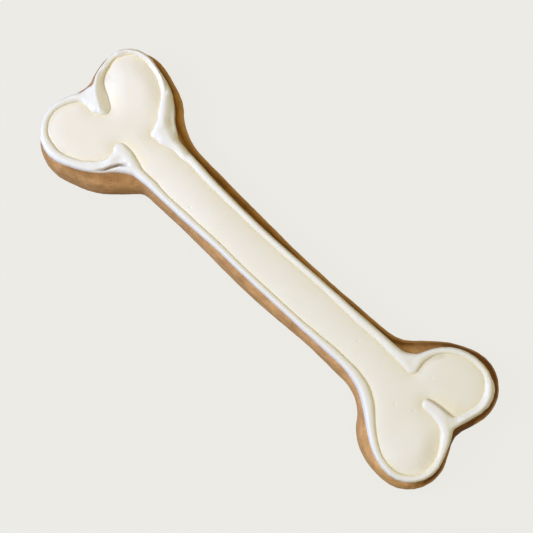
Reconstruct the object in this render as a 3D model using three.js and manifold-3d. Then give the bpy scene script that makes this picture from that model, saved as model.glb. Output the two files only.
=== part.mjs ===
// Bone-shaped cookie for a dog: a thick baked bone with a pillow of poured icing on top,
// held in by a piped line of icing. Millimetres, +Z up, the bone lies along X on z = 0.
//
// Both outlines are belts round rollers: a belt goes outside the rollers of the four lobes
// and inside the rollers of the hollows between them, and runs straight from one to the next.
// The piped line is six strokes that follow the icing's outline and curl in at their ends.

import * as THREE from 'three';
import { mergeVertices } from 'three/addons/utils/BufferGeometryUtils.js';
import Module from 'manifold-3d';

const wasm = await Module();
wasm.setup();

// ---- Driving sizes -------------------------------------------------------------------

const outlineStep = 2.3;        // spacing of the points along an outline
const leastStep = 0.3;          // points closer than this are one point
const runBow = 0.05;            // how far the straight runs of an outline bow out
const weld = 1e-5;              // vertices closer than this are one vertex

const biscuit = {
  top: 8.5,                     // height of the flat top that the icing lies on
  widest: 3.6,                  // height at which the wall bulges most
  underEdge: 1.5,               // how far the lower edge is rounded in
  upperEdge: 2.8,               // how far the upper edge is rounded in
  underSteps: 2,
  upperSteps: 4,
};

const line = {
  width: 1.9,                   // usual width of the piped line
  rise: 0.45,                   // height of a line of no width ...
  risePerWidth: 0.45,           // ... and what each millimetre of width adds
  sides: 6,                     // facets over the line's round top
  step: 2.4,                    // spacing of the sections along a stroke
  tips: [0.12, 0.5, 1.1],       // where the sections of a rounded tip lie, from its end
  tipRoom: 2,                   // length at each end kept for those of the tip
  clearance: 0.3,               // gap between the line and the poured icing
};

const pour = {
  creaseRise: 0.5,              // height above the biscuit at the crease
  crownRise: 1.75,              // height above the biscuit in the middle
  shoulder: 3.4,                // how far in from the crease it is still rising
  steps: 5,
};

// Lobes are numbered round the bone: 1 lower right, 2 upper right, 3 upper left, 4 lower left.
// Each has a round end and a broader cheek towards the shank.
const hollow = true;
const biscuitRollers = [
  { x: 38.0, y: -21.5, r: 12.3, hollow },     // neck of lobe 1
  { x: 62.2, y: -5.5, r: 16.6 },              // cheek of lobe 1
  { x: 64.7, y: -11.3, r: 10.8 },             // end of lobe 1
  { x: 77.6, y: 0.6, r: 6.0, hollow },        // cleft between lobes 1 and 2
  { x: 63.1, y: 11.2, r: 11.3 },              // end of lobe 2
  { x: 61.9, y: 4.8, r: 16.7 },               // cheek of lobe 2
  { x: 37.5, y: 20.7, r: 11.4, hollow },      // neck of lobe 2
  { x: 12.1, y: 308.6, r: 300.0, hollow },    // long hollow of the upper side
  { x: -33.1, y: 29.6, r: 19.1, hollow },     // neck of lobe 3
  { x: -57.8, y: 6.0, r: 15.0 },              // cheek of lobe 3
  { x: -62.2, y: 11.1, r: 11.2 },             // end of lobe 3
  { x: -78.9, y: 3.2, r: 6.7, hollow },       // cleft between lobes 3 and 4
  { x: -62.0, y: -9.0, r: 12.6 },             // end of lobe 4
  { x: -59.8, y: -0.2, r: 20.3 },             // cheek of lobe 4
  { x: -37.4, y: -12.8, r: 4.2, hollow },     // neck of lobe 4
];
const icingRollers = [                        // the same places, for the icing's outline
  { x: 34.1, y: -28.8, r: 21.7, hollow },
  { x: 64.1, y: -3.7, r: 16.5 },
  { x: 64.1, y: -10.6, r: 9.9 },
  { x: 74.1, y: 2.1, r: 4.7, hollow },
  { x: 63.1, y: 11.1, r: 9.2 },
  { x: 61.8, y: 7.0, r: 13.2 },
  { x: 44.7, y: 11.6, r: 4.0, hollow },
  { x: -4.1, y: 306.7, r: 300.0, hollow },
  { x: -37.7, y: 19.2, r: 10.7, hollow },
  { x: -60.4, y: 2.3, r: 17.4 },
  { x: -64.4, y: 12.4, r: 8.6 },
  { x: -75.8, y: 2.8, r: 5.5, hollow },
  { x: -64.7, y: -9.2, r: 10.2 },
  { x: -66.6, y: 4.1, r: 23.1 },
  { x: -41.7, y: -15.3, r: 8.3, hollow },
];

// Places where an outline or the line's width swells: centre, amount, spread.
const wallSwells = [
  { x: 1, y: -9.5, by: 0.6, over: 10 },
  { x: -26, y: -9.0, by: -0.2, over: 8 },
  { x: 27, y: -9.3, by: -0.3, over: 9 },
  { x: 0, y: 8.9, by: 0.1, over: 10 },
];
const icingSwells = [
  { x: -13, y: -6.9, by: -0.3, over: 7 },
];
const lineSwells = [
  { x: -48, y: 13, by: 2.2, over: 6 },        // down the neck of lobe 3
  { x: -30, y: 8, by: 0.4, over: 9 },
  { x: -43, y: -7, by: 1.5, over: 6 },        // below the neck of lobe 4
  { x: -25, y: -7, by: 0.2, over: 9 },
  { x: 44, y: -9, by: 1.3, over: 7 },         // neck of lobe 1
  { x: 52, y: -15, by: 0.4, over: 8 },        // cheek of lobe 1
  { x: 45, y: 8, by: 1.0, over: 6 },          // neck of lobe 2
  { x: 31, y: 7.5, by: 0.6, over: 8 },
  { x: 30, y: -7, by: 0.5, over: 7 },
  { x: 70, y: 1, by: 0.9, over: 3 },          // cleft between lobes 1 and 2
  { x: -73, y: 12, by: 0.8, over: 6 },        // left side of lobe 3
  { x: -71, y: 2, by: 1.6, over: 4 },         // cleft between lobes 3 and 4
  { x: -65, y: -19, by: 1.0, over: 8 },       // foot of lobe 4
  { x: -52, y: -13, by: -0.4, over: 4 },      // thin skirt beside lobe 4
];

// The strokes of the piped line. Each follows the icing's outline anticlockwise from one
// place to another, and may start with a free run of x, y and width and end with another.
const strokes = [
  {                             // lower side of the shank, round lobe 1 and back along its cleft
    lead: [[-53.5, -4.0, 2.6], [-51.2, -4.4, 3.9], [-48.4, -4.7, 3.9]],
    from: [-43.5, -7.2],
    to: [71.3, -4.2],
    tail: [[69.0, -0.8, 3.2], [65.8, 1.2, 3.9], [62.0, 1.4, 3.3], [58.4, 1.1, 2.9]],
  },
  {                             // out of that cleft and round lobe 2
    lead: [[64.8, 2.0, 1.8], [67.2, 1.9, 3.2]],
    from: [69.4, 2.6],
    to: [49.0, 11.4],
    tail: [[49.8, 8.6, 3.0], [50.3, 6.3, 2.6], [51.2, 4.7, 1.7]],
  },
  {                             // upper side of the shank
    lead: [[51.2, 4.8, 1.7], [48.6, 5.9, 3.0], [45.8, 6.2, 3.2]],
    from: [43.0, 7.8],
    to: [-41.5, 9.6],
    tail: [[-44.4, 7.2, 3.6], [-46.9, 5.5, 2.6]],
  },
  {                             // round lobe 3, ending in its cleft
    lead: [[-47.2, 4.3, 2.2], [-47.2, 6.8, 3.4], [-47.2, 9.6, 4.6]],
    from: [-47.8, 14.0],
    to: [-72.3, 8.6],
    tail: [[-70.0, 6.0, 3.6], [-67.8, 3.9, 4.2], [-65.2, 2.2, 4.4], [-61.3, 0.7, 3.0]],
  },
  {                             // out of that cleft and round lobe 4, up into the first stroke
    lead: [[-63.6, -0.3, 2.2], [-66.8, 0.0, 3.2], [-70.2, -0.8, 3.0]],
    from: [-73.6, -3.6],
    to: [-62.0, -18.7],
    tail: [[-57.0, -15.3, 2.4], [-54.2, -12.8, 2.3], [-52.2, -10.2, 2.3], [-50.9, -7.6, 3.1],
      [-50.0, -5.6, 3.2]],
  },
  {                             // thin apron outside the end of the stroke before
    from: [-58.5, -17.3],
    to: [-45.0, -7.4],
    tail: [[-43.0, -6.0, 2.0]],
  },
  { from: [71.3, -4.2], to: [69.9, 6.0] },        // web in the cleft between lobes 1 and 2
  { from: [50.4, 13.2], to: [41.0, 7.4] },        // web in the neck of lobe 2
  { from: [-40.5, 9.2], to: [-49.5, 15.8] },      // web in the neck of lobe 3
  { from: [-72.0, 8.6], to: [-72.0, -1.6] },      // web in the cleft between lobes 3 and 4
];

// ---- Outlines ------------------------------------------------------------------------

// Points and outward directions along a belt that passes the rollers anticlockwise.
function beltRound(rollers) {
  const turnRadius = rollers.map((roller) => (roller.hollow ? -roller.r : roller.r));
  const heading = rollers.map((roller, i) => {
    const next = (i + 1) % rollers.length;
    const dx = rollers[next].x - roller.x;
    const dy = rollers[next].y - roller.y;
    return Math.atan2(dy, dx) - Math.asin((turnRadius[next] - turnRadius[i]) / Math.hypot(dx, dy));
  });
  const points = [];
  rollers.forEach((roller, i) => {
    const arrive = heading[(i + rollers.length - 1) % rollers.length];
    let turn = (heading[i] - arrive) % (2 * Math.PI);
    if (!roller.hollow && turn < 0) turn += 2 * Math.PI;
    if (roller.hollow && turn > 0) turn -= 2 * Math.PI;
    const arcSteps = Math.max(2, Math.round((Math.abs(turn) * roller.r) / outlineStep));
    for (let k = 0; k <= arcSteps; k += 1) {
      const angle = arrive + (turn * k) / arcSteps;
      const out = { x: Math.sin(angle), y: -Math.cos(angle) };
      points.push({
        x: roller.x + out.x * turnRadius[i],
        y: roller.y + out.y * turnRadius[i],
        out,
      });
    }
    const nextRoller = rollers[(i + 1) % rollers.length];
    const out = { x: Math.sin(heading[i]), y: -Math.cos(heading[i]) };
    const leave = points[points.length - 1];
    const nextRadius = turnRadius[(i + 1) % rollers.length];
    const dx = nextRoller.x + out.x * nextRadius - leave.x;
    const dy = nextRoller.y + out.y * nextRadius - leave.y;
    const runSteps = Math.round(Math.hypot(dx, dy) / outlineStep);
    for (let k = 1; k < runSteps; k += 1) {
      const t = k / runSteps;
      const bow = 4 * runBow * t * (1 - t);
      points.push({ x: leave.x + dx * t + out.x * bow, y: leave.y + dy * t + out.y * bow, out });
    }
  });
  return points.filter((point, i) => {
    const before = points[(i + points.length - 1) % points.length];
    return Math.hypot(point.x - before.x, point.y - before.y) > leastStep;
  });
}

// What the swells near a place add up to there.
function swellAt(swells, place) {
  return swells.reduce((sum, swell) => {
    const away = Math.hypot(place.x - swell.x, place.y - swell.y) / swell.over;
    return sum + swell.by * Math.exp(-away * away);
  }, 0);
}

// The outline moved in by a distance, as a level ring at a height.
function levelRing(outline, inset, z) {
  return outline.map(({ x, y, out }) => new THREE.Vector3(x - out.x * inset, y - out.y * inset, z));
}

// The belt round some rollers, moved out by what the swells say.
function swollenBelt(rollers, swells) {
  return beltRound(rollers).map(({ x, y, out }) => {
    const by = swellAt(swells, { x, y });
    return { x: x + out.x * by, y: y + out.y * by, out };
  });
}

const biscuitOutline = swollenBelt(biscuitRollers, wallSwells);
const icingOutline = swollenBelt(icingRollers, icingSwells);

// ---- Closed skins --------------------------------------------------------------------

// Triangles that fill a flat loop, anticlockwise.
function fillLoop(loop) {
  const flat = loop.map(([u, v]) => new THREE.Vector2(u, v));
  return THREE.ShapeUtils.triangulateShape(flat, []).map(([a, b, c]) => {
    const turn = (flat[b].x - flat[a].x) * (flat[c].y - flat[a].y)
      - (flat[c].x - flat[a].x) * (flat[b].y - flat[a].y);
    return turn > 0 ? [a, b, c] : [a, c, b];
  });
}

// A closed body through equal rings. flatten gives the two flat coordinates of a ring's
// points, in which it runs anticlockwise seen from beyond the last ring.
function skinRings(rings, flatten) {
  const count = rings[0].length;
  const positions = rings.flat().flatMap((point) => [point.x, point.y, point.z]);
  const index = [];
  for (let level = 0; level < rings.length - 1; level += 1) {
    for (let i = 0; i < count; i += 1) {
      const a = level * count + i;
      const b = level * count + ((i + 1) % count);
      index.push(a, b, b + count, a, b + count, a + count);
    }
  }
  const last = (rings.length - 1) * count;
  fillLoop(rings[0].map(flatten(0))).forEach(([a, b, c]) => index.push(a, c, b));
  fillLoop(rings[rings.length - 1].map(flatten(rings.length - 1))).forEach(([a, b, c]) => {
    index.push(last + a, last + b, last + c);
  });
  const geometry = new THREE.BufferGeometry();
  geometry.setAttribute('position', new THREE.Float32BufferAttribute(positions, 3));
  geometry.setIndex(index);
  return geometry;
}

const fromAbove = () => (point) => [point.x, point.y];

// ---- Biscuit -------------------------------------------------------------------------

// Insets and heights up the wall: a tight lower edge, a bulge and a softly rounded rim.
function biscuitWall() {
  const wall = [];
  for (let k = 0; k < biscuit.underSteps; k += 1) {
    const angle = (Math.PI / 2) * (1 - k / biscuit.underSteps);
    wall.push([biscuit.underEdge * (1 - Math.cos(angle)), biscuit.widest * (1 - Math.sin(angle))]);
  }
  for (let k = 0; k <= biscuit.upperSteps; k += 1) {
    const angle = (Math.PI / 2) * (k / biscuit.upperSteps);
    const rise = (biscuit.top - biscuit.widest) * Math.sin(angle);
    wall.push([biscuit.upperEdge * (1 - Math.cos(angle)), biscuit.widest + rise]);
  }
  return wall;
}

function makeBiscuit() {
  const rings = biscuitWall().map(([inset, z]) => levelRing(biscuitOutline, inset, z));
  return skinRings(rings, fromAbove);
}

// ---- Piped line ----------------------------------------------------------------------

// The outline's points from the one nearest to a place to the one nearest to another.
function stretchOfOutline(outline, from, to) {
  const nearest = ([x, y]) => {
    const away = outline.map((point) => Math.hypot(point.x - x, point.y - y));
    return away.indexOf(Math.min(...away));
  };
  const first = nearest(from);
  const count = (nearest(to) - first + outline.length) % outline.length;
  return Array.from({ length: count + 1 }, (_, k) => outline[(first + k) % outline.length]);
}

const lineWidth = (point) => line.width + swellAt(lineSwells, point);

// Where a stroke follows the icing's outline: x, y and width at every other point.
function followedPart({ from, to }) {
  return stretchOfOutline(icingOutline, from, to).filter((_, k) => k % 2 === 0).map((point) => {
    const inset = lineWidth(point) / 2;
    return [point.x - point.out.x * inset, point.y - point.out.y * inset, 2 * inset];
  });
}

// Half-round sections along a run through stations of x, y and width, which shrink to a
// rounded tip at each end, and are larger all round by grow. The third coordinate of the
// curve is the width.
function strokeSections(stations, grow) {
  const through = stations.map((station) => new THREE.Vector3(...station));
  const route = new THREE.CatmullRomCurve3(through, false, 'centripetal');
  const length = route.getLength();
  const steps = Math.ceil(length / line.step);
  const tips = line.tips.map((away) => away / length);
  const room = line.tipRoom / length;
  const between = Array.from({ length: steps - 1 }, (_, k) => (k + 1) / steps)
    .filter((u) => u > room && u < 1 - room);
  const places = [...tips, ...between, ...tips.map((u) => 1 - u).reverse()];
  return places.map((u) => {
    const { x, y, z: width } = route.getPointAt(u);
    const tangent = route.getTangentAt(u).setZ(0).normalize();
    const fromEnd = Math.min(u, 1 - u) * length;
    const short = Math.max(0, 1 - fromEnd / (width / 2));
    const taper = Math.sqrt(1 - short * short);
    const half = (width * taper) / 2 + grow;
    const rise = (line.rise + line.risePerWidth * width) * taper + grow;
    const beyond = u < 0.5 ? -grow * short : grow * short;
    return Array.from({ length: line.sides + 1 }, (_, k) => {
      const angle = (Math.PI * k) / line.sides;
      const aside = half * Math.cos(angle);
      return new THREE.Vector3(
        x - tangent.y * aside + tangent.x * beyond,
        y + tangent.x * aside + tangent.y * beyond,
        biscuit.top + rise * Math.sin(angle),
      );
    });
  });
}

function makeStroke(stations, grow) {
  const sections = strokeSections(stations, grow);
  const sideways = (level) => (point) => {
    const [first] = sections[level];
    return [-Math.hypot(point.x - first.x, point.y - first.y), point.z];
  };
  return skinRings(sections, sideways);
}

// ---- Joining and cutting -------------------------------------------------------------

function toSolid(geometry) {
  const merged = mergeVertices(geometry, weld);
  return new wasm.Manifold(new wasm.Mesh({
    numProp: 3,
    vertProperties: new Float32Array(merged.attributes.position.array),
    triVerts: new Uint32Array(merged.index.array),
  }));
}

function toGeometry(solid) {
  const { vertProperties, triVerts } = solid.getMesh();
  const geometry = new THREE.BufferGeometry();
  geometry.setAttribute('position', new THREE.BufferAttribute(vertProperties, 3));
  geometry.setIndex(new THREE.BufferAttribute(triVerts, 1));
  return geometry;
}

function joinRuns(runs, grow) {
  return runs.map((stations) => toSolid(makeStroke(stations, grow)))
    .reduce((joined, solid) => joined.add(solid));
}

function makePipedLine() {
  const runs = strokes.map((stroke) => {
    return [...(stroke.lead ?? []), ...followedPart(stroke), ...(stroke.tail ?? [])];
  });
  return toGeometry(joinRuns(runs, 0));
}

// ---- Poured icing --------------------------------------------------------------------

// The strokes' free runs, which lie inside the icing's outline and part the poured icing.
function freeRuns() {
  return strokes.flatMap((stroke) => {
    const followed = followedPart(stroke);
    const lead = stroke.lead ? [[...stroke.lead, ...followed.slice(0, 3)]] : [];
    const tail = stroke.tail ? [[...followed.slice(-3), ...stroke.tail]] : [];
    return [...lead, ...tail];
  });
}

// A pillow that rises from the crease beside the line to a broad crown.
function makePouredIcing() {
  const ring = (inset, rise) => icingOutline.map((point) => {
    const fromEdge = lineWidth(point) + line.clearance + inset;
    return new THREE.Vector3(
      point.x - point.out.x * fromEdge,
      point.y - point.out.y * fromEdge,
      biscuit.top + rise,
    );
  });
  const rings = [ring(0, 0)];
  for (let k = 0; k <= pour.steps; k += 1) {
    const angle = (Math.PI / 2) * (k / pour.steps);
    const rise = pour.creaseRise + (pour.crownRise - pour.creaseRise) * Math.sin(angle);
    rings.push(ring(pour.shoulder * (1 - Math.cos(angle)), rise));
  }
  const pillow = toSolid(skinRings(rings, fromAbove));
  return toGeometry(pillow.subtract(joinRuns(freeRuns(), line.clearance)));
}

// ---- The whole -----------------------------------------------------------------------

function part(name, geometry, color, roughness) {
  const material = new THREE.MeshStandardMaterial({ color, roughness, metalness: 0 });
  const mesh = new THREE.Mesh(geometry, material);
  mesh.name = name;
  return mesh;
}

const cookie = new THREE.Group();
cookie.add(part('biscuit', makeBiscuit(), 0xb18e65, 0.9));
cookie.add(part('poured_icing', makePouredIcing(), 0xebe6da, 0.5));
cookie.add(part('piped_line', makePipedLine(), 0xf4f6f8, 0.45));

export default cookie;
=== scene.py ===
"""Bone-shaped dog cookie: a baked bone, a pillow of poured icing and a piped line round it.

The bone and the line start from merged copies of their plain solids in the frame. A copy gets an
even skin of small faces, is smoothed, and is then worked by hand-like moves along paths drawn on
the top: heaps, presses, slumps and shoves. The poured icing is a sheet cut to the worked line.
Lengths are in metres, and MM turns millimetres into them.
"""

import math

import bmesh
import bpy
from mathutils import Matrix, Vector, noise
from mathutils.bvhtree import BVHTree


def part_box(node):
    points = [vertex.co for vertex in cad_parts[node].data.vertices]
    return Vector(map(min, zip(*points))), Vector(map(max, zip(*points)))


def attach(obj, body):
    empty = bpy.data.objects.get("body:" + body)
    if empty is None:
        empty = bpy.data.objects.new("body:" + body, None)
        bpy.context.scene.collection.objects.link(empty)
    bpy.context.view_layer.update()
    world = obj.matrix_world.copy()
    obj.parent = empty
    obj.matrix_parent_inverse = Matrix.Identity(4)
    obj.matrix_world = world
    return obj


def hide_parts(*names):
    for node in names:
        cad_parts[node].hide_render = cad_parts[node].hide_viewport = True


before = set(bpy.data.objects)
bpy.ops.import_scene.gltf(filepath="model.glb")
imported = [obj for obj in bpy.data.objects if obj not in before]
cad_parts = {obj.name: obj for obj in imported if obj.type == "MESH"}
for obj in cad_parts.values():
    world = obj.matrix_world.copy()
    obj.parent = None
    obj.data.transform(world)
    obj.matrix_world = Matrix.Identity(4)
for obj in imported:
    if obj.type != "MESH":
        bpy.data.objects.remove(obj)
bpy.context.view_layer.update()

MM = 0.001
UP = Vector((0, 0, 1))
DOWN = Vector((0, 0, -1))
FAR_SIDE = Vector((0.6, 0.8, 0))        # away from the softbox
HIGH_ABOVE = 0.05                       # rays looking down start here, over everything
BISCUIT_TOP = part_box("biscuit")[1].z

BISCUIT_SKIN = 0.36 * MM        # face size of the baked bone
LINE_SKIN = 0.18 * MM           # face size of the piped line
POUR_SKIN = 0.21 * MM           # face size of the poured icing
LINE_KEPT = 0.46                # share of the piped line's faces that is kept
TOUCHING = 0.01 * MM            # points this near the biscuit's top rest on it
SUNK = 0.45 * MM                # how far icing reaches into the biscuit under it
HANG = 1.3 * MM                 # how far the line sinks where it runs over the rim

FOLD_FILL = 0.7 * MM            # folds tighter than this between strokes are filled
CREASE_RISE = 1.00 * MM         # height of the poured icing where it meets the line
ROLLED_EDGE = 0.20 * MM         # what its rolled edge adds at once
CROWN_RISE = 1.70 * MM          # height in the middle
RISE_WIDTH = 6.0 * MM           # how far in from the crease it is still rising
ROLL = 0.35 * MM                # how tightly its edge rolls over
ROLLED_AT_CREASE = 0.632        # the part of the roll that is done at the crease
SHEET_MARGIN = 4 * MM           # how much larger its uncut sheet is
REACH_PAST = 1.8 * MM           # how far past the plain pillow it may flow
TUCKED_ROWS = 4                 # rows of its faces that reach under the line
BURST_BUBBLE = (-25.9, -3.1)    # places in millimetres
PINPRICKS = ((33.9, 1.1), (52.9, -5.0), (55.6, 7.2), (57.8, -2.7))

PALE = (0.8388, 0.8308, 0.7913, 1)      # the board and the backdrop
BOARD_SIZE = 2
BOARD_DROP = 0.03 * MM                  # the board lies this far under the cookie
SOFTBOX_AWAY = 0.65
SOFTBOX_RISE = math.radians(38)
CAMERA_TARGET = Vector((1.125, -0.75, 9.0)) * MM
CAMERA_TURN = math.radians(42.8)
CAMERA_RISE = math.radians(82.3)
CAMERA_AWAY = 0.437


# ---- Working the shapes ---------------------------------------------------------------

def share(value):
    """A value held between 0 and 1."""
    return min(max(value, 0), 1)


def merged_copy(node):
    """A copy of a frame node's solid with its loose triangles joined."""
    shape = bmesh.new()
    shape.from_mesh(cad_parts[node].data)
    bmesh.ops.remove_doubles(shape, verts=shape.verts, dist=0.001 * MM)
    return shape


def as_piece(name, shape):
    """An object at the origin that holds the shape."""
    mesh = bpy.data.meshes.new(name)
    shape.to_mesh(mesh)
    shape.free()
    mesh.shade_smooth()
    piece = bpy.data.objects.new(name, mesh)
    bpy.context.scene.collection.objects.link(piece)
    return piece


def finished_by_modifiers(piece):
    """The shape that a piece's modifiers give; the piece itself is thrown away."""
    seen = piece.evaluated_get(bpy.context.evaluated_depsgraph_get())
    shape = bmesh.new()
    shape.from_mesh(seen.to_mesh())
    bpy.data.objects.remove(piece)
    return shape


def even_skin(shape, face_size):
    """The same closed shape in small faces of one size."""
    rough = as_piece("rough shape", shape)
    remesh = rough.modifiers.new("even skin", "REMESH")
    remesh.mode = "VOXEL"
    remesh.voxel_size = face_size
    return finished_by_modifiers(rough)


def thinned(shape, kept):
    """The same shape with only a part of its faces kept, fewest where it is flat."""
    dense = as_piece("dense shape", shape)
    thin = dense.modifiers.new("thin out", "DECIMATE")
    thin.ratio = kept
    return finished_by_modifiers(dense)


def smooth(shape, rounds):
    """Evens out the whole surface, a little in each round."""
    for _ in range(rounds):
        bmesh.ops.smooth_vert(
            shape, verts=shape.verts, factor=0.5, use_axis_x=True, use_axis_y=True, use_axis_z=True
        )
    shape.normal_update()


def push_out(shape, amount_at):
    """Moves each point along its normal by what amount_at says."""
    shape.normal_update()
    for vert in shape.verts:
        vert.co += vert.normal * amount_at(vert)
    shape.normal_update()


def lumps(point, size, seed):
    """Soft noise of about -1 to 1 with swells of one size."""
    return noise.noise(point / size + Vector((seed, 2.3 * seed, 5.1 * seed)))


def height_below(tree, x, y):
    """Height of the surface under a place, or None past its edge."""
    place, _, _, _ = tree.ray_cast(Vector((x, y, HIGH_ABOVE)), DOWN)
    return None if place is None else place.z


def drawn(*places):
    """A path drawn on the top, from places in millimetres."""
    return [Vector(place) * MM for place in places]


def off_path(point, path):
    """The shortest step in plan from a path to a point."""
    steps = []
    for start, end in zip(path, path[1:]):
        stretch = end - start
        along = (point - start).dot(stretch) / stretch.length_squared
        steps.append(point - start - stretch * share(along))
    return min(steps, key=lambda step: step.length_squared)


def nearness(point, path, reach):
    """1 on a path, 0 at its reach, and smooth between."""
    near = max(1 - off_path(point, path).length / reach, 0)
    return near * near * (3 - 2 * near)


def touched(shape, path, reach):
    """The points within reach of a path, each with its step from the path."""
    shape.normal_update()
    low_x = min(place.x for place in path) - reach
    high_x = max(place.x for place in path) + reach
    low_y = min(place.y for place in path) - reach
    high_y = max(place.y for place in path) + reach
    found = []
    for vert in shape.verts:
        if low_x < vert.co.x < high_x and low_y < vert.co.y < high_y:
            step = off_path(vert.co.xy, path)
            if step.length < reach:
                found.append((vert, step))
    return found


def heap(shape, path, reach, level):
    """Fills the top up to a rounded heap along a path."""
    for vert, step in touched(shape, path, reach):
        target = BISCUIT_TOP + level * (1 - (step.length / reach) ** 2)
        flat = share(2 * vert.normal.z - 1)
        vert.co.z += max(target - vert.co.z, 0) * flat


def press(shape, path, reach, depth):
    """Presses the top down along a path."""
    for vert, _ in touched(shape, path, reach):
        if vert.normal.z > 0:
            vert.co.z -= depth * nearness(vert.co.xy, path, reach)


def score(shape, path, middle, reach, depth):
    """Draws a groove along a path that runs out towards both ends."""
    half = (path[-1] - path[0]).length / 2
    for vert, _ in touched(shape, path, reach):
        if vert.normal.z > 0:
            fade = nearness(vert.co.xy, middle, half)
            vert.co.z -= depth * fade * nearness(vert.co.xy, path, reach)


def slump(shape, path, reach, rounds):
    """Lets ridges and hollows near a path run into each other."""
    soft = [vert for vert, _ in touched(shape, path, reach) if vert.normal.z > 0.4]
    for _ in range(rounds):
        bmesh.ops.smooth_vert(shape, verts=soft, factor=0.9, use_axis_z=True)


def rub(shape, path, reach, rounds):
    """Rounds off corners near a path, in every direction."""
    soft = [vert for vert, _ in touched(shape, path, reach) if vert.co.z > BISCUIT_TOP]
    for _ in range(rounds):
        bmesh.ops.smooth_vert(
            shape, verts=soft, factor=0.7, use_axis_x=True, use_axis_y=True, use_axis_z=True
        )


def lean(shape, path, reach, shift):
    """Pushes the crown near a path sideways and leaves its foot where it is."""
    for vert, _ in touched(shape, path, reach):
        rise = share((vert.co.z - BISCUIT_TOP) / (2 * MM))
        vert.co += shift * nearness(vert.co.xy, path, reach) * rise * rise


def shove(shape, path, reach, side, amount):
    """Moves the faces that look to one side, outward or, with a minus, inward."""
    for vert, _ in touched(shape, path, reach):
        facing = max(vert.normal.dot(side), 0)
        vert.co += side * amount * facing * nearness(vert.co.xy, path, reach)


# ---- Baked bone -----------------------------------------------------------------------

PITS = (                        # place, size and depth in millimetres
    ((-45.2, -11.4, 3.8), 1.3, 0.45), ((-43.9, -10.6, 3.2), 1.0, 0.30),
    ((-55.5, -18.2, 3.4), 1.1, 0.25), ((-66.5, -18.6, 4.4), 0.9, 0.22),
    ((38.5, 11.8, 5.0), 1.2, 0.30), ((49.5, 18.6, 5.2), 1.0, 0.25),
    ((52.0, -17.4, 4.0), 1.1, 0.25), ((8.0, -10.4, 4.2), 0.9, 0.20),
)

# Where the far side's painted shade is darkest, in the notch under the line at the right end.
RIGHT_NOTCH = drawn((71.0, -1.6), (70.1, 0.2), (70.2, 2.6), (71.5, 5.3))


def bake_bone():
    """The bone, uneven as dough bakes, with its flat underside on the board."""
    shape = even_skin(merged_copy("biscuit"), BISCUIT_SKIN)
    smooth(shape, 5)

    def uneven(vert):
        wall = 1 - abs(vert.normal.z)
        slow = 0.16 * lumps(vert.co, 9 * MM, 1) + 0.08 * lumps(vert.co, 3.4 * MM, 2)
        layered = Vector((vert.co.x, vert.co.y, 4 * vert.co.z))
        grain = 0.05 * lumps(vert.co, 1.3 * MM, 3) + 0.05 * lumps(layered, 3 * MM, 8)
        return MM * (0.35 + 0.65 * wall) * (slow + grain)

    push_out(shape, uneven)
    upper_left = drawn((-73.4, 13.0), (-72.8, 10.0), (-71.8, 7.0))
    shove(shape, upper_left, 3.0 * MM, Vector((-0.96, 0.28, 0)), 0.5 * MM)
    for place, size, depth in PITS:
        dent(shape, Vector(place) * MM, size * MM, depth * MM)
    for vert in shape.verts:
        vert.co.z = max(vert.co.z, 0)
    brown_crust_and_paint_shade(shape)
    return shape


def dent(shape, place, size, depth):
    """A small pit where a bubble in the dough broke."""
    for vert in shape.verts:
        away = (vert.co - place).length / size
        if away < 1:
            vert.co -= vert.normal * depth * (1 - away * away) ** 2


def brown_crust_and_paint_shade(shape):
    """How browned the crust is, from 0 to 1, in layers that the finish reads, with shade painted in.

    The lit side and the far side have their own browns, and a third layer says which of the
    two a point is on. The far side's darker, more orange brown is mostly painted shade, darkest
    on the rim just under the line, on the right end's top and in the notch there. On the lit
    side the crust is browner to the left, painted light makes the low wall lighter, and walls
    near the ends that face in along the bone are browner. Each of the places left, right, low,
    shoulder and notch is 1 where it is strongest.
    """
    lit = shape.verts.layers.float.new("lit_brown")
    painted_shade = shape.verts.layers.float.new("far_painted_shade")
    turned = shape.verts.layers.float.new("far")
    shape.normal_update()
    for vert in shape.verts:
        side = vert.normal
        left = share((20 * MM - vert.co.x) / (90 * MM))
        right = share((vert.co.x - 32 * MM) / (16 * MM))
        low = share(1 - vert.co.z / (0.5 * BISCUIT_TOP))
        shoulder = share((side.z - 0.2) / 0.75)
        notch = nearness(vert.co.xy, RIGHT_NOTCH, 3.0 * MM)
        mottle = lumps(vert.co, 6 * MM, 6)
        # Lit side: browner to the left, painted light on the low wall, walls facing in along the bone
        # browner.
        brown = 0.42 + 0.30 * left - 0.3 * right - 0.5 * low + 0.15 * mottle
        brown += 0.5 * right * max(-side.x, 0) + 0.5 * left * max(side.x, 0)
        vert[lit] = share(brown)
        # Far side: painted shade, darkest on the rim under the line, on the right end's top and in
        # the notch.
        brown = 1.1 * shoulder + 0.8 * right * max(side.z, 0) + 1.2 * notch + 0.17 * mottle
        vert[painted_shade] = share(brown)
        # Which side gets the far side's painted shade: the side turned away from the softbox.
        away = 0.35 + 0.15 * right + 2.2 * side.dot(FAR_SIDE)
        vert[turned] = share(away)


# ---- Piped line -----------------------------------------------------------------------

def seat_on(shape, bone):
    """Lets the flat underside down into the biscuit, and a little over its rim."""
    for vert in shape.verts:
        if vert.co.z < BISCUIT_TOP + TOUCHING:
            below = height_below(bone, vert.co.x, vert.co.y) or 0
            vert.co.z = min(max(below, BISCUIT_TOP - HANG), BISCUIT_TOP) - SUNK


def fill_folds(shape):
    """Swells the strokes into each other and draws them back, which fills the folds."""
    push_out(shape, lambda vert: FOLD_FILL)
    shape = even_skin(shape, LINE_SKIN)
    smooth(shape, 4)
    push_out(shape, lambda vert: -FOLD_FILL)
    return shape


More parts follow.
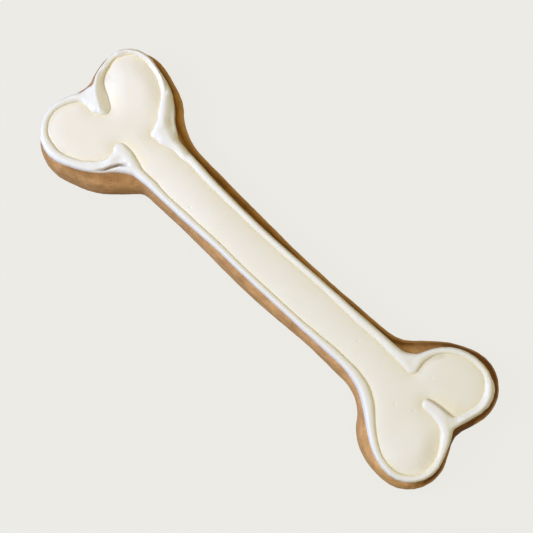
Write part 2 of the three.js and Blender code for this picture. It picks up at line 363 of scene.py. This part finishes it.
def lean_on_pour(shape, rounded):
    """Broadens the side that faces the poured icing, and lifts the thin stretches."""
    shape.normal_update()
    for vert in shape.verts:
        _, normal, _, _ = rounded.find_nearest(vert.co)
        inward = Vector((-normal.x, -normal.y, 0))
        if inward.length > 0.05:
            inward.normalize()
        facing = max(vert.normal.dot(inward), 0)
        rise = vert.co.z - BISCUIT_TOP
        thin = share((2.1 * MM - rise) / (1.0 * MM))
        far = max(-inward.dot(FAR_SIDE), 0)
        crown = share(rise / (2 * MM)) ** 2
        vert.co += inward * MM * (0.48 * facing + 0.35 * far * crown)
        vert.co.z += 0.30 * MM * thin * max(vert.normal.z, 0)
    shape.normal_update()


FOLD = drawn(
    (-54.0, -14.9), (-52.5, -13.6), (-50.9, -11.7), (-49.8, -9.6), (-48.7, -7.8), (-47.0, -6.3)
)
FOLD_MIDDLE = drawn((-50.3, -10.6), (-49.0, -8.4))
TONGUE_SLOPE = drawn((-69.3, 7.8), (-67.4, 5.5), (-65.6, 3.9), (-63.6, 2.7), (-62.1, 1.6))
RIGHT_TONGUE = drawn((58.9, 2.3), (60.7, 2.8), (62.9, 3.0), (64.9, 3.2), (66.8, 3.5))
RIGHT_NECK = drawn((51.7, 6.5), (51.2, 8.7), (51.4, 10.3), (52.3, 12.2), (53.6, 13.8))
LEFT_BOW = drawn(
    (-70.4, -2.7), (-72.1, -5.1), (-72.6, -7.9), (-72.2, -10.7), (-71.0, -13.1), (-68.8, -15.0),
    (-65.8, -15.7), (-62.8, -15.7),
)
# Where the line's top left gets a warm tint that stands in for shade.
TOP_LEFT = drawn(
    (-71.7, 12.7), (-71.3, 15.5), (-69.5, 17.8), (-67.2, 19.4), (-63.8, 20.0), (-59.8, 19.0)
)


def shade_at(point, tongue_reach):
    """How dark the slopes and creases are that face away from the softbox, from 0 to 1."""
    tongue = 0.2 * nearness(point, TONGUE_SLOPE, tongue_reach)
    right_tongue = 0.35 * nearness(point, RIGHT_TONGUE, 0.9 * MM)
    right_neck = 0.2 * nearness(point, RIGHT_NECK, 1.6 * MM)
    left_bow = 0.13 * nearness(point, LEFT_BOW, 1.3 * MM)
    return max(tongue, right_tongue, right_neck, left_bow)


def work_left_cleft(shape):
    """One broad tongue with a long slope on its far side."""
    crown = drawn((-70.1, 8.1), (-68.6, 5.6), (-67.2, 3.6), (-65.5, 2.3), (-63.5, 1.2))
    heap(shape, crown, 7.0 * MM, 2.35 * MM)
    slump(shape, drawn((-71.0, 3.0), (-65.0, 0.5)), 4.0 * MM, 45)
    press(shape, TONGUE_SLOPE, 2.1 * MM, 0.75 * MM)
    slump(shape, TONGUE_SLOPE, 2.2 * MM, 10)
    lean(shape, crown, 3.0 * MM, Vector((-0.35, -0.35, 0)) * MM)
    shove(shape, drawn((-65.0, -1.4), (-63.4, -1.3)), 2.0 * MM, Vector((0, -1, 0)), 0.5 * MM)


def work_lower_neck(shape):
    """The lower left neck: a spur, with a fold between it and the skirt below."""
    crown = drawn((-51.6, -8.4), (-51.8, -6.5), (-51.6, -4.9), (-48.5, -5.0))
    heap(shape, crown, 4.2 * MM, 2.1 * MM)
    slump(shape, drawn((-51.8, -9.5), (-51.2, -5.2)), 3.2 * MM, 45)
    rub(shape, drawn((-53.8, -11.5), (-53.0, -7.5), (-52.9, -4.6)), 2.0 * MM, 20)
    shove(shape, drawn((-54.4, -12.0), (-53.0, -8.6)), 2.0 * MM, Vector((-1, 0, 0)), -0.5 * MM)
    shove(shape, drawn((-42.2, -3.3), (-39.4, -3.3)), 2.4 * MM, Vector((0, 1, 0)), -0.8 * MM)
    rub(shape, drawn((-46.5, -3.6), (-38.0, -4.3), (-28.0, -4.6)), 1.4 * MM, 15)
    score(shape, FOLD, FOLD_MIDDLE, 0.62 * MM, 1.15 * MM)


def work_upper_neck(shape):
    """The upper left neck, with its crown drawn inward and a long slope outside."""
    inner = drawn((-44.0, 5.9), (-41.0, 6.4), (-37.5, 6.2))
    shove(shape, inner, 3.0 * MM, Vector((0, -1, 0)), 1.2 * MM)
    edge = drawn((-46.5, 4.6), (-44.0, 5.0), (-41.0, 5.3), (-37.5, 5.4), (-34.0, 5.6))
    rub(shape, edge, 1.8 * MM, 25)
    slump(shape, drawn((-49.0, 8.5), (-43.5, 8.0), (-38.5, 7.4)), 3.6 * MM, 50)
    slope = drawn(
        (-50.9, 16.4), (-49.0, 14.2), (-47.2, 11.8), (-45.2, 10.2), (-42.0, 9.2), (-37.0, 8.3)
    )
    press(shape, slope, 2.0 * MM, 0.75 * MM)
    crown = drawn((-52.5, 15.5), (-49.5, 11.0), (-47.5, 8.0), (-42.5, 7.0))
    lean(shape, crown, 3.0 * MM, Vector((-0.4, -0.4, 0)) * MM)
    inner = drawn((-55.6, 18.0), (-53.3, 15.0), (-51.4, 11.5))
    shove(shape, inner, 3.5 * MM, Vector((-0.8, -0.6, 0)), 0.4 * MM)


def work_upper_left(shape):
    """The line round the upper left lobe, slim on the left and evenly rounded on top."""
    inner = drawn((-70.2, 13.6), (-70.0, 11.0), (-69.0, 8.4))
    shove(shape, inner, 2.5 * MM, Vector((1, 0.2, 0)), -0.6 * MM)
    crown = drawn(
        (-71.6, 12.0), (-71.4, 15.2), (-69.9, 17.6), (-67.2, 19.4), (-64.0, 20.2), (-60.5, 20.0),
        (-57.3, 18.6), (-54.4, 16.6),
    )
    rub(shape, crown, 1.7 * MM, 12)
    heap(shape, crown[1:], 1.5 * MM, 2.05 * MM)
    rub(shape, crown, 1.8 * MM, 8)


def work_left_bow(shape):
    """The bow of line round the lower left lobe, a little broader on its inside."""
    inner = drawn((-71.6, -4.5), (-72.0, -8.0), (-70.6, -12.3), (-66.5, -15.3))
    shove(shape, inner, 3.0 * MM, Vector((0.9, 0.44, 0)), 0.35 * MM)


def work_right_end(shape):
    """The right end: softened joins, and a fuller bow on the upper lobe."""
    slump(shape, drawn((45.5, 6.5), (50.5, 7.5)), 3.0 * MM, 35)
    slump(shape, drawn((62.0, 1.0), (70.0, 1.0)), 3.0 * MM, 18)
    outer = drawn((70.6, 3.4), (72.3, 7.4), (73.0, 10.7), (72.2, 14.5), (69.5, 17.6))
    shove(shape, outer, 2.5 * MM, Vector((0.95, 0.3, 0)), 0.65 * MM)
    inner = drawn((69.9, 7.0), (70.5, 10.1), (70.0, 13.0), (67.6, 15.8))
    shove(shape, inner, 3.0 * MM, Vector((-0.95, -0.3, 0)), 0.5 * MM)
    crown = drawn((69.6, 4.4), (71.2, 7.5), (71.8, 10.5), (71.0, 14.0), (68.6, 16.9))
    heap(shape, crown, 2.2 * MM, 2.1 * MM)
    slump(shape, crown, 2.6 * MM, 25)


def draw_in_left_edges(shape):
    """Lets a little of the biscuit's rim show outside the line at the left end."""
    upper = drawn((-73.6, 14.0), (-73.1, 11.8), (-71.7, 7.9), (-70.6, 3.8))
    shove(shape, upper, 2.0 * MM, Vector((-0.95, -0.3, 0)), -0.35 * MM)
    lower = drawn((-74.6, -10.0), (-73.6, -14.0), (-71.6, -16.5))
    shove(shape, lower, 2.0 * MM, Vector((-0.85, -0.53, 0)), -0.3 * MM)


def note_creases(shape, rounded):
    """Paints shade into the line, from 0 to 1: warm where it runs down into the poured icing, dark in
    the fold.
    """
    crease = shape.verts.layers.float.new("crease")
    fold = shape.verts.layers.float.new("fold")
    warmth = shape.verts.layers.float.new("warmth")
    shape.normal_update()
    for vert in shape.verts:
        # A warm tint on the line's top left: painted shade where it faces away from the cool softbox.
        vert[warmth] = nearness(vert.co.xy, TOP_LEFT, 3.5 * MM)
        # Painted dark shade in the fold, on slopes facing away from the softbox and at the far foot.
        middle = nearness(vert.co.xy, FOLD_MIDDLE, 4.6 * MM)
        painted_shade = shade_at(vert.co.xy, 2.3 * MM)
        foot = share(1 - (vert.co.z - BISCUIT_TOP) / (0.7 * MM))
        far = max(vert.normal.dot(FAR_SIDE), 0)
        dark = middle * nearness(vert.co.xy, FOLD, 0.65 * MM)
        vert[fold] = max(dark, painted_shade, 0.4 * foot * far)
        # Painted warm shade low on the side facing the poured icing, on the tongue's slope and round
        # the bow.
        _, normal, _, _ = rounded.find_nearest(vert.co)
        facing = max(-vert.normal.xy.dot(normal.xy), 0)
        low = share(1 - (vert.co.z - BISCUIT_TOP - CREASE_RISE) / (0.7 * MM))
        slope = 0.85 * nearness(vert.co.xy, TONGUE_SLOPE, 2.5 * MM)
        bow = 0.45 * nearness(vert.co.xy, LEFT_BOW, 1.3 * MM)
        vert[crease] = share(max(1.5 * facing * low, slope, bow))


def pipe_line(bone, rounded):
    """The piped line, let down on the bone, its strokes run together and worked with hand-like moves.
    """
    shape = merged_copy("piped_line")
    seat_on(shape, bone)
    shape = even_skin(shape, LINE_SKIN)
    smooth(shape, 4)
    shape = fill_folds(shape)
    smooth(shape, 4)
    lean_on_pour(shape, rounded)
    smooth(shape, 6)
    work_left_cleft(shape)
    work_lower_neck(shape)
    work_upper_neck(shape)
    work_upper_left(shape)
    work_left_bow(shape)
    work_right_end(shape)
    draw_in_left_edges(shape)
    smooth(shape, 2)

    def hand(vert):
        return MM * (0.07 * lumps(vert.co, 6 * MM, 4) + 0.02 * lumps(vert.co, 1.8 * MM, 5))

    push_out(shape, hand)
    shape = thinned(shape, LINE_KEPT)
    note_creases(shape, rounded)
    return shape


# ---- Poured icing ---------------------------------------------------------------------

CREASE_LEVEL = BISCUIT_TOP + CREASE_RISE
# The crease's painted warm shade: its width, and the places where more of it is painted.
CREASE_WIDTH = 0.6 * MM
WARM_SHADE_REACH = 3.5 * MM
WARM_SHADE_PATHS = (                       # where warm shade is painted on the poured icing by the line
    drawn((-65.5, 6.0), (-62.0, 4.0)), drawn((-50.0, -2.0), (-44.5, -3.0)),
    drawn((61.0, 3.5), (66.5, 5.0)),
)
LOW_SIDE = drawn((70.5, -5.5), (72.6, -9.5), (71.5, -14.0), (68.0, -17.5))


def painted_light_at(point):
    """How much painted light the poured icing gets, from 0 to 1, on two lobes and by the lower neck.
    """
    upper_left = nearness(point, drawn((-64.0, 10.0), (-58.0, 14.0)), 13 * MM)
    lower_neck = 0.8 * nearness(point, drawn((-43.0, -1.0), (-22.0, -3.0)), 7 * MM)
    lower_right = 0.5 * nearness(point, drawn((64.0, -6.0), (65.0, -13.0)), 12 * MM)
    return max(upper_left, lower_neck, lower_right)


def swell(point, away):
    """What the fuller upper left and lower right lobes add, in from the line."""
    upper_left = drawn((-64.0, 11.0), (-60.0, 14.0))
    lower_right = drawn((65.5, -9.0), (66.0, -13.5))
    fuller = 0.8 * nearness(point, upper_left, 12 * MM) + 0.4 * nearness(point, lower_right, 10 * MM)
    t = share(away / RISE_WIDTH)
    return MM * fuller * (1 - (1 - t) ** 2)


def pour_height(away):
    """Height over the crease level at a distance in from the line."""
    rolled = 1 - math.exp(-max(away + ROLL, 0) / ROLL)
    t = share(away / RISE_WIDTH)
    dome = 1 - (1 - t) ** 3
    return ROLLED_EDGE * (rolled - ROLLED_AT_CREASE) + (CROWN_RISE - CREASE_RISE - ROLLED_EDGE) * dome


def mark_surface(shape):
    """A burst bubble with a raised ring, and a few pinpricks."""
    x, y = BURST_BUBBLE
    spot = drawn((x, y), (x + 0.1, y))
    press(shape, spot, 1.0 * MM, -0.14 * MM)
    press(shape, spot, 0.6 * MM, 0.34 * MM)
    for x, y in PINPRICKS:
        press(shape, drawn((x, y), (x + 0.3, y + 0.1)), 0.45 * MM, 0.18 * MM)


def spread(shape, start, stops):
    """The points that the icing reaches from one of them without crossing the stops."""
    reached = {start}
    front = [start]
    while front:
        vert = front.pop()
        for edge in vert.link_edges:
            other = edge.other_vert(vert)
            if other not in reached and other not in stops:
                reached.add(other)
                front.append(other)
    return reached


def cut_to_line(shape, under_line, beyond):
    """Keeps the sheet inside the line, with a few rows of faces that tuck under it."""
    start = min(shape.verts, key=lambda vert: vert.co.xy.length)
    kept = spread(shape, start, under_line | beyond)
    for _ in range(TUCKED_ROWS):
        kept |= {edge.other_vert(vert) for vert in kept for edge in vert.link_edges}
    spare = [vert for vert in shape.verts if vert not in kept or vert in beyond]
    bmesh.ops.delete(shape, geom=spare, context="VERTS")


def laid_sheet():
    """A fine level sheet over the whole top, a little larger than the plain pillow."""
    low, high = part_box("poured_icing")
    wide = high.x - low.x + SHEET_MARGIN
    deep = high.y - low.y + SHEET_MARGIN
    middle = (low + high) / 2
    shape = bmesh.new()
    bmesh.ops.create_grid(
        shape, x_segments=round(wide / POUR_SKIN), y_segments=round(deep / POUR_SKIN), size=0.5
    )
    bmesh.ops.scale(shape, vec=(wide, deep, 1), verts=shape.verts)
    bmesh.ops.translate(shape, vec=(middle.x, middle.y, CREASE_LEVEL), verts=shape.verts)
    return shape


def dome_and_tint(shape, line, pillow):
    """Domes the sheet in from the line, paints shade and light into its tint, and finds what is under
    and past the line.
    """
    crease = shape.verts.layers.float.new("crease")
    fold = shape.verts.layers.float.new("fold")
    warmth = shape.verts.layers.float.new("warmth")
    pale = shape.verts.layers.float.new("pale")
    under_line = set()
    beyond = set()
    for vert in shape.verts:
        top = height_below(line, vert.co.x, vert.co.y)
        away = line.find_nearest(vert.co)[3]
        if top is not None and top > CREASE_LEVEL:
            under_line.add(vert)
            away = -away
        over = height_below(pillow, vert.co.x, vert.co.y) is not None
        if not over and pillow.find_nearest(vert.co)[3] > REACH_PAST:
            beyond.add(vert)
        else:
            vert.co.z += pour_height(away) + swell(vert.co.xy, away)
            # Painted warm shade along the crease and at the listed places by the line.
            glow = max(nearness(vert.co.xy, path, WARM_SHADE_REACH) for path in WARM_SHADE_PATHS)
            vert[crease] = max(0.48 * math.exp(-max(away, 0) / CREASE_WIDTH), 0.5 * glow)
            # Painted shade on slopes facing away from the softbox.
            vert[fold] = shade_at(vert.co.xy, 2.6 * MM)
            # Warmer towards the left.
            vert[warmth] = share((20 * MM - vert.co.x) / (60 * MM))
            # Painted light on the upper left and lower right lobes and by the lower neck.
            vert[pale] = painted_light_at(vert.co.xy)
    return under_line, beyond


def let_down_rim(shape):
    """Runs the sheet's rim down into the biscuit and closes it below."""
    edges = [edge for edge in shape.edges if edge.is_boundary]
    made = bmesh.ops.extrude_edge_only(shape, edges=edges)
    for part in made["geom"]:
        if isinstance(part, bmesh.types.BMVert):
            part.co.z = BISCUIT_TOP - SUNK
    low_rim = [part for part in made["geom"] if isinstance(part, bmesh.types.BMEdge)]
    bmesh.ops.holes_fill(shape, edges=[edge for edge in low_rim if edge.is_boundary])
    bmesh.ops.recalc_face_normals(shape, faces=shape.faces)


def pour_icing(line, pillow):
    """A sheet laid over the whole top, domed, and cut to the inside of the line."""
    shape = laid_sheet()
    under_line, beyond = dome_and_tint(shape, line, pillow)
    cut_to_line(shape, under_line, beyond)
    press(shape, LOW_SIDE, 6.0 * MM, 0.5 * MM)
    mark_surface(shape)
    inner = [vert for vert in shape.verts if not vert.is_boundary]
    for _ in range(3):
        bmesh.ops.smooth_vert(shape, verts=inner, factor=0.5, use_axis_z=True)
    let_down_rim(shape)
    return shape


# ---- Finishes -------------------------------------------------------------------------

NO_TINT = (1, 1, 1)
# crease is painted warm shade, fold painted dark shade, pale painted light; warmth is painted shade
# on the line's top left and a warmer left on the poured icing.
ICING_TINTS = (                 # layer of the shape, and what it multiplies the colour by
    ("crease", (1.0, 0.94, 0.71)), ("fold", (0.32, 0.24, 0.19)),
    ("warmth", (0.995, 0.967, 0.935)), ("pale", (1.045, 1.05, 1.09)),
)


def finish_named(name, roughness):
    """A new material, with its tree, its shader and the piece's own coordinates."""
    material = bpy.data.materials.new(name)
    material.use_nodes = True
    tree = material.node_tree
    shader = tree.nodes["Principled BSDF"]
    shader.inputs["Roughness"].default_value = roughness
    coords = tree.nodes.new("ShaderNodeTexCoord")
    return material, tree, shader, coords


def noise_texture(tree, coords, scale, detail=3.0, layering=1.0):
    """Noise on the piece's own coordinates; layering squeezes it into level bands."""
    texture = tree.nodes.new("ShaderNodeTexNoise")
    texture.inputs["Scale"].default_value = scale
    texture.inputs["Detail"].default_value = detail
    where = coords.outputs["Object"]
    if layering != 1:
        squeeze = tree.nodes.new("ShaderNodeMapping")
        squeeze.inputs["Scale"].default_value = (1, 1, layering)
        tree.links.new(where, squeeze.inputs["Vector"])
        where = squeeze.outputs["Vector"]
    tree.links.new(where, texture.inputs["Vector"])
    return texture.outputs["Fac"]


def worked_in(tree, layer):
    """What a layer of the shape's own points says, from 0 to 1."""
    node = tree.nodes.new("ShaderNodeAttribute")
    node.attribute_name = layer
    return node.outputs["Fac"]


def ramp(tree, source, *stops):
    """Colours by how high the source is; each stop is a position and a colour."""
    node = tree.nodes.new("ShaderNodeValToRGB")
    elements = node.color_ramp.elements
    while len(elements) < len(stops):
        elements.new(0.5)
    for element, (position, colour) in zip(elements, stops):
        element.position = position
        element.color = (*colour, 1)
    tree.links.new(source, node.inputs["Fac"])
    return node.outputs["Color"]


def mixed(tree, first, second, way):
    """A node that mixes two colours in one of Blender's ways."""
    node = tree.nodes.new("ShaderNodeMix")
    node.data_type = "RGBA"
    node.blend_type = way
    tree.links.new(first, node.inputs["A"])
    tree.links.new(second, node.inputs["B"])
    return node


def blend(tree, factor, first, second):
    """The first colour where the factor is 0, the second where it is 1."""
    node = mixed(tree, first, second, "MIX")
    tree.links.new(factor, node.inputs["Factor"])
    return node.outputs["Result"]


def times(tree, first, second):
    """One colour multiplied by another."""
    node = mixed(tree, first, second, "MULTIPLY")
    node.inputs["Factor"].default_value = 1
    return node.outputs["Result"]


def bump(tree, shader, height, distance, strength):
    """Fine relief on the surface, on top of what is in the shape."""
    node = tree.nodes.new("ShaderNodeBump")
    node.inputs["Distance"].default_value = distance
    node.inputs["Strength"].default_value = strength
    tree.links.new(height, node.inputs["Height"])
    tree.links.new(node.outputs["Normal"], shader.inputs["Normal"])


def baked_dough():
    """Biscuit brown that deepens with the crust, with painted shade on the far side, in patches and
    level bands, with specks.
    """
    material, tree, shader, coords = finish_named("baked_dough", 0.75)
    shader.inputs["Specular IOR Level"].default_value = 0.25
    lit = ramp(
        tree, worked_in(tree, "lit_brown"),
        (0.0, (0.79, 0.47, 0.182)), (0.4, (0.65, 0.37, 0.15)),
        (0.7, (0.53, 0.295, 0.118)), (1.0, (0.47, 0.255, 0.094)),
    )
    # The far side's colours, from its lightest brown into the painted shade.
    painted_shade = ramp(
        tree, worked_in(tree, "far_painted_shade"), (0.0, (0.92, 0.50, 0.095)), (1.0, (0.20, 0.075, 0.003))
    )
    # The lit side's brown, mixed into the far side's painted shade by which way the surface faces.
    colour = blend(tree, worked_in(tree, "far"), lit, painted_shade)
    patches = noise_texture(tree, coords, 300, 6)
    bands = noise_texture(tree, coords, 260, 4, layering=3.5)
    specks = noise_texture(tree, coords, 1700, 1)
    for tint in (
        ramp(tree, patches, (0.3, (0.88, 0.87, 0.85)), (0.7, (1.1, 1.1, 1.12))),
        ramp(tree, bands, (0.38, (0.84, 0.81, 0.76)), (0.58, (1.05, 1.05, 1.05))),
        ramp(tree, specks, (0.62, NO_TINT), (0.74, (0.78, 0.68, 0.55))),
    ):
        colour = times(tree, colour, tint)
    tree.links.new(colour, shader.inputs["Base Color"])
    crumb = noise_texture(tree, coords, 1400, 5)
    bump(tree, shader, crumb, 0.2 * MM, 0.5)
    return material


def set_icing(name, roughness, low, high):
    """Set sugar icing with a satin skin, tinted by the layers worked into the shape, which hold
    painted shade and light.
    """
    material, tree, shader, coords = finish_named(name, roughness)
    colour = ramp(tree, noise_texture(tree, coords, 90), (0.3, low), (0.7, high))
    for layer, tint in ICING_TINTS:
        full = ramp(tree, worked_in(tree, layer), (0.0, NO_TINT), (1.0, tint))
        colour = times(tree, colour, full)
    tree.links.new(colour, shader.inputs["Base Color"])
    shader.inputs["Subsurface Weight"].default_value = 0.15
    shader.inputs["Subsurface Radius"].default_value = (1.0, 0.8, 0.55)
    shader.inputs["Subsurface Scale"].default_value = 0.8 * MM
    grain = noise_texture(tree, coords, 2200, 3)
    bump(tree, shader, grain, 0.012 * MM, 0.3)
    return material


# ---- Putting it together --------------------------------------------------------------

def settle(name, shape, node, material):
    """Puts a finished piece in the frame instead of its plain solid."""
    piece = as_piece(name, shape)
    piece.data.materials.append(material)
    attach(piece, "root")
    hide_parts(node)


def make_cookie():
    """The three pieces, each worked to the ones made before it."""
    plain_pour = merged_copy("poured_icing")
    pillow = BVHTree.FromBMesh(plain_pour)
    rounded = even_skin(plain_pour.copy(), 0.6 * MM)
    smooth(rounded, 8)
    bone = bake_bone()
    line = pipe_line(BVHTree.FromBMesh(bone), BVHTree.FromBMesh(rounded))
    rounded.free()
    icing = pour_icing(BVHTree.FromBMesh(line), pillow)
    plain_pour.free()
    settle("baked_bone", bone, "biscuit", baked_dough())
    settle(
        "poured_icing_pillow", icing, "poured_icing",
        set_icing("poured_icing", 0.38, (0.93, 0.895, 0.80), (0.945, 0.91, 0.83)),
    )
    settle(
        "piped_icing_line", line, "piped_line",
        set_icing("piped_icing", 0.42, (0.92, 0.905, 0.86), (0.94, 0.925, 0.89)),
    )


# ---- Floor, light and camera ----------------------------------------------------------

def lay_floor():
    """A plain pale board that glows as evenly as the backdrop and takes a faint shadow."""
    shape = bmesh.new()
    bmesh.ops.create_grid(shape, x_segments=1, y_segments=1, size=BOARD_SIZE)
    bmesh.ops.translate(shape, vec=(0, 0, -BOARD_DROP), verts=shape.verts)
    floor = as_piece("floor", shape)
    material = bpy.data.materials.new("pale_board")
    material.use_nodes = True
    tree = material.node_tree
    tree.nodes.remove(tree.nodes["Principled BSDF"])
    glow = tree.nodes.new("ShaderNodeEmission")
    glow.inputs["Color"].default_value = PALE
    matte = tree.nodes.new("ShaderNodeBsdfDiffuse")
    matte.inputs["Color"].default_value = (0.95, 0.95, 0.92, 1)
    mix = tree.nodes.new("ShaderNodeMixShader")
    mix.inputs["Fac"].default_value = 0.04
    tree.links.new(glow.outputs["Emission"], mix.inputs[1])
    tree.links.new(matte.outputs["BSDF"], mix.inputs[2])
    tree.links.new(mix.outputs["Shader"], tree.nodes["Material Output"].inputs["Surface"])
    floor.data.materials.append(material)
    floor.visible_diffuse = False


def hang_softbox():
    """A round cool softbox low on the near left."""
    softbox = bpy.data.lights.new("softbox", "AREA")
    softbox.shape = "DISK"
    softbox.size = 0.31
    softbox.energy = 4.12
    softbox.color = (0.515, 0.631, 1.0)
    lamp = bpy.data.objects.new("softbox", softbox)
    bpy.context.scene.collection.objects.link(lamp)
    level = Vector((-0.72, -0.69, 0)).normalized() * math.cos(SOFTBOX_RISE)
    toward = level + UP * math.sin(SOFTBOX_RISE)
    lamp.location = toward * SOFTBOX_AWAY
    lamp.rotation_euler = (-toward).to_track_quat("-Z", "Y").to_euler()


def fill_room():
    """Warm light from above that fades to the sides; the camera sees a pale backdrop."""
    world = bpy.data.worlds.new("room")
    world.use_nodes = True
    tree = world.node_tree
    coords = tree.nodes.new("ShaderNodeTexCoord")
    height = tree.nodes.new("ShaderNodeSeparateXYZ")
    tree.links.new(coords.outputs["Generated"], height.inputs["Vector"])
    dome = ramp(
        tree, height.outputs["Z"], (0.0, (0.08, 0.055, 0.02)), (1.0, (0.83, 0.735, 0.44))
    )
    backdrop = tree.nodes.new("ShaderNodeBackground")
    backdrop.inputs["Color"].default_value = PALE
    seen = tree.nodes.new("ShaderNodeLightPath")
    choose = tree.nodes.new("ShaderNodeMixShader")
    glow = tree.nodes["Background"]
    tree.links.new(dome, glow.inputs["Color"])
    tree.links.new(seen.outputs["Is Camera Ray"], choose.inputs["Fac"])
    tree.links.new(glow.outputs["Background"], choose.inputs[1])
    tree.links.new(backdrop.outputs["Background"], choose.inputs[2])
    tree.links.new(choose.outputs["Shader"], tree.nodes["World Output"].inputs["Surface"])
    bpy.context.scene.world = world


def set_camera():
    """Almost straight down, from the near right."""
    camera = bpy.data.objects.new("camera", bpy.data.cameras.new("camera"))
    bpy.context.scene.collection.objects.link(camera)
    level = Vector((math.sin(CAMERA_TURN), -math.cos(CAMERA_TURN), 0)) * math.cos(CAMERA_RISE)
    back = level + UP * math.sin(CAMERA_RISE)
    camera.location = CAMERA_TARGET + back * CAMERA_AWAY
    camera.rotation_euler = (-back).to_track_quat("-Z", "Y").to_euler()
    camera.data.sensor_width = 36
    camera.data.lens = 105.8
    bpy.context.scene.camera = camera


make_cookie()
lay_floor()
hang_softbox()
fill_room()
set_camera()
bpy.context.scene.view_settings.view_transform = "Standard"
